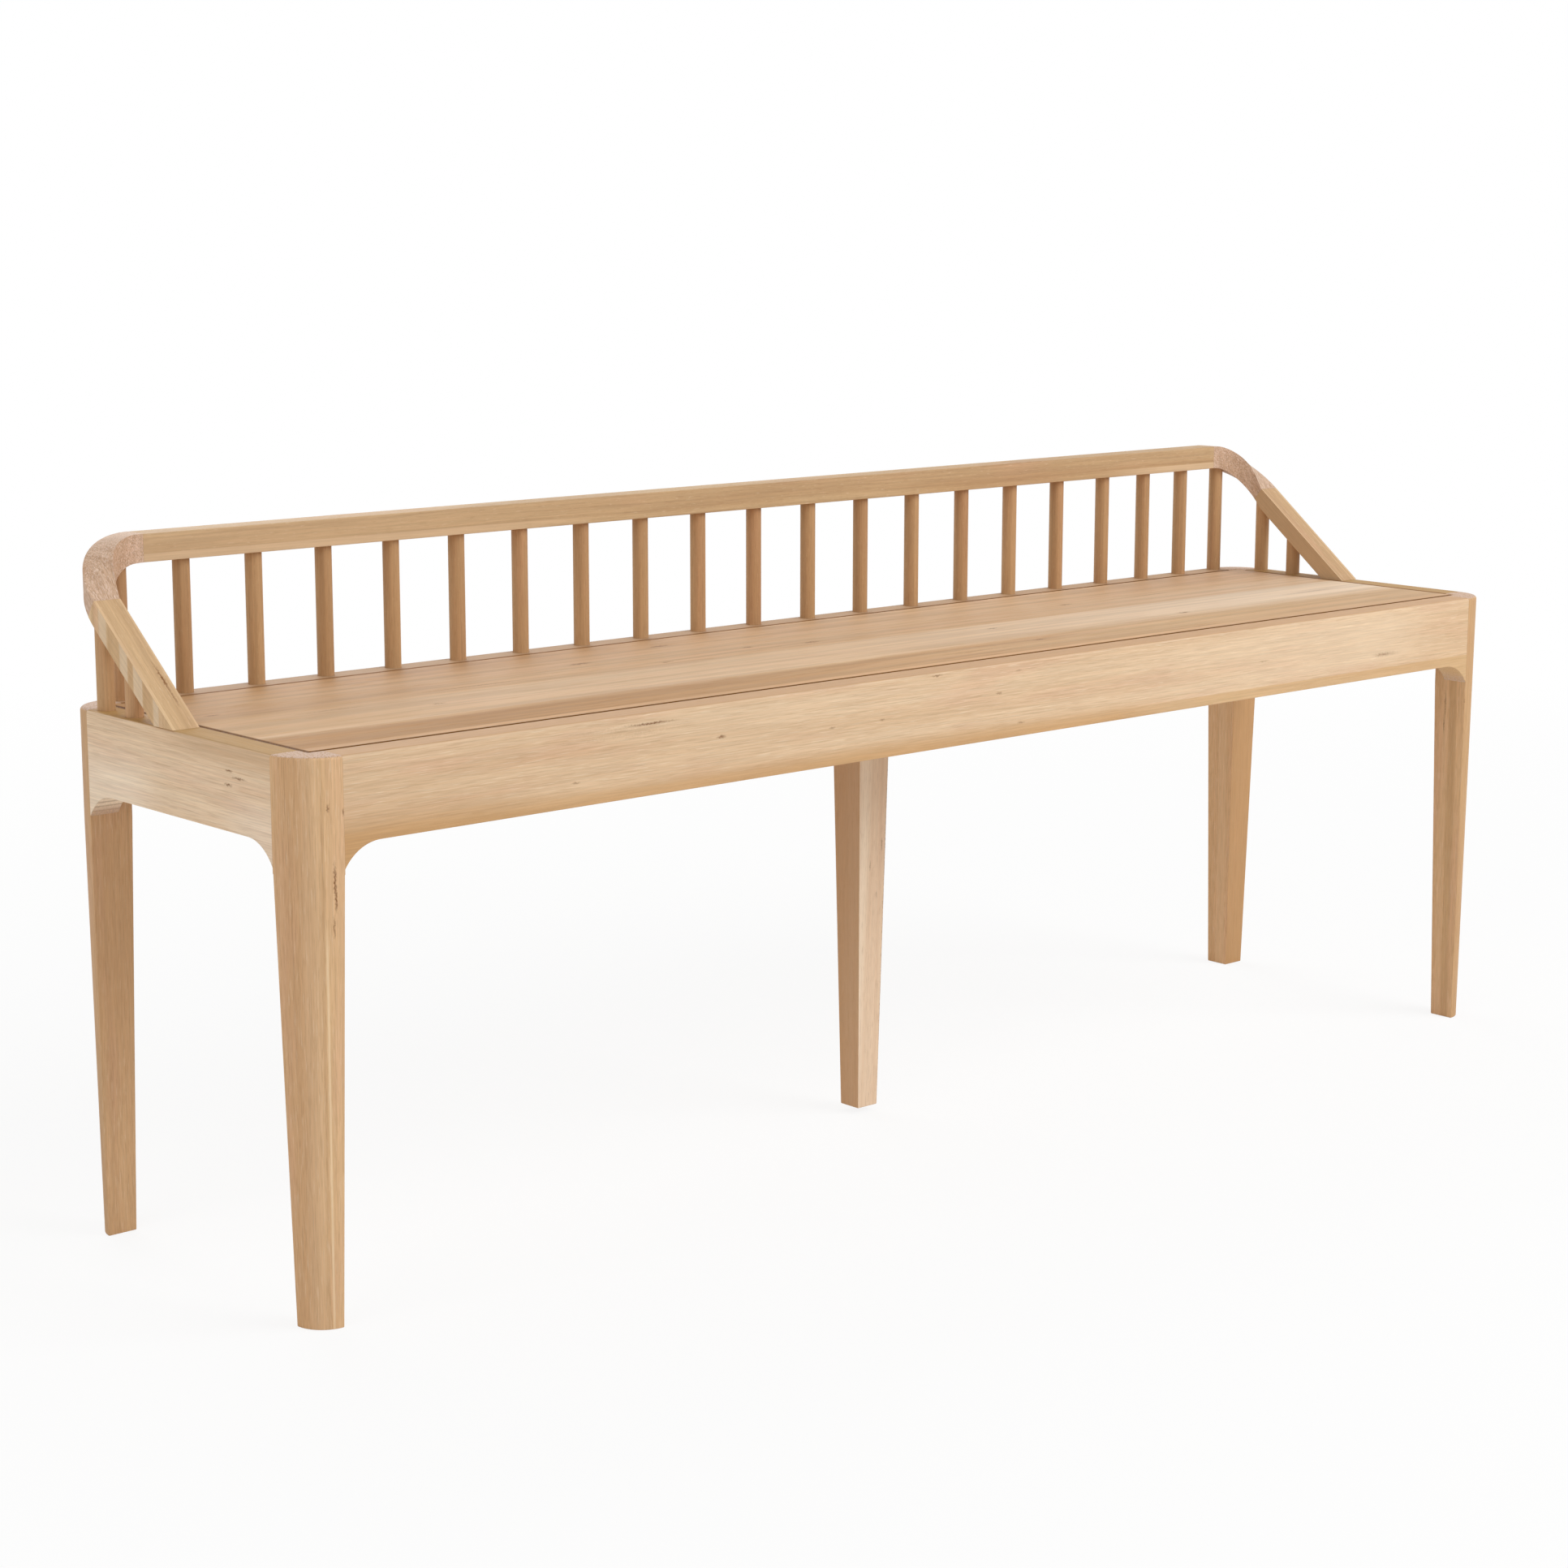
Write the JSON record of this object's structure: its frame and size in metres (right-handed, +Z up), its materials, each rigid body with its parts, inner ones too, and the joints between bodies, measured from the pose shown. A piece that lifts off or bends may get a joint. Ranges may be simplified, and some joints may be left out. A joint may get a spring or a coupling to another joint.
{
  "type": "deacons bench",
  "caption": "Long low oak bench with an inset seat panel, tapered legs, a spindle back and arms that slope down from the back rail.",
  "frame": {"origin": "on the floor under the middle of the bench, the bottom centre of its box", "axes": "+X along the bench to the right-hand end as seen from the front, -Y towards the front, +Z up"},
  "size_m": [1.5, 0.358, 0.6003],
  "materials": {
    "seat_oak": "planed and matt oiled, glued from staves",
    "frame_oak": "planed and matt oiled",
    "leg_oak": "planed and matt oiled, end grain at the top",
    "rail_oak": "planed and matt oiled",
    "corner_oak": "shaped and sanded, grain running out to end grain",
    "spindle_oak": "turned and matt oiled",
    "inner_oak": "planed, unfinished",
    "screw_steel": "zinc plated; the screws under the bearers, which only the scene shows"
  },
  "bodies": {
    "root": {"seat_panel": "seat_oak", "front_apron": "frame_oak", "back_apron": "frame_oak", "left_end_apron": "frame_oak", "right_end_apron": "frame_oak", "front_left_leg": "leg_oak", "front_right_leg": "leg_oak", "back_left_leg": "leg_oak", "back_right_leg": "leg_oak", "centre_leg": "leg_oak", "back_rail": "rail_oak", "left_arm": "rail_oak", "right_arm": "rail_oak", "left_bent_corner": "corner_oak", "right_bent_corner": "corner_oak", "back_spindle_01": "spindle_oak", "back_spindle_02": "spindle_oak", "back_spindle_03": "spindle_oak", "back_spindle_04": "spindle_oak", "back_spindle_05": "spindle_oak", "back_spindle_06": "spindle_oak", "back_spindle_07": "spindle_oak", "back_spindle_08": "spindle_oak", "back_spindle_09": "spindle_oak", "back_spindle_10": "spindle_oak", "back_spindle_11": "spindle_oak", "back_spindle_12": "spindle_oak", "back_spindle_13": "spindle_oak", "back_spindle_14": "spindle_oak", "back_spindle_15": "spindle_oak", "back_spindle_16": "spindle_oak", "back_spindle_17": "spindle_oak", "back_spindle_18": "spindle_oak", "back_spindle_19": "spindle_oak", "back_spindle_20": "spindle_oak", "back_spindle_21": "spindle_oak", "left_end_spindle_1": "spindle_oak", "left_end_spindle_2": "spindle_oak", "right_end_spindle_1": "spindle_oak", "right_end_spindle_2": "spindle_oak", "left_cross_bearer": "inner_oak", "centre_cross_bearer": "inner_oak", "right_cross_bearer": "inner_oak", "front_left_glue_block": "inner_oak", "front_right_glue_block": "inner_oak", "back_left_glue_block": "inner_oak", "back_right_glue_block": "inner_oak", "left_rail_dowel": "inner_oak", "right_rail_dowel": "inner_oak", "left_arm_foot_dowel": "inner_oak", "right_arm_foot_dowel": "inner_oak"}
  },
  "joints": []
}
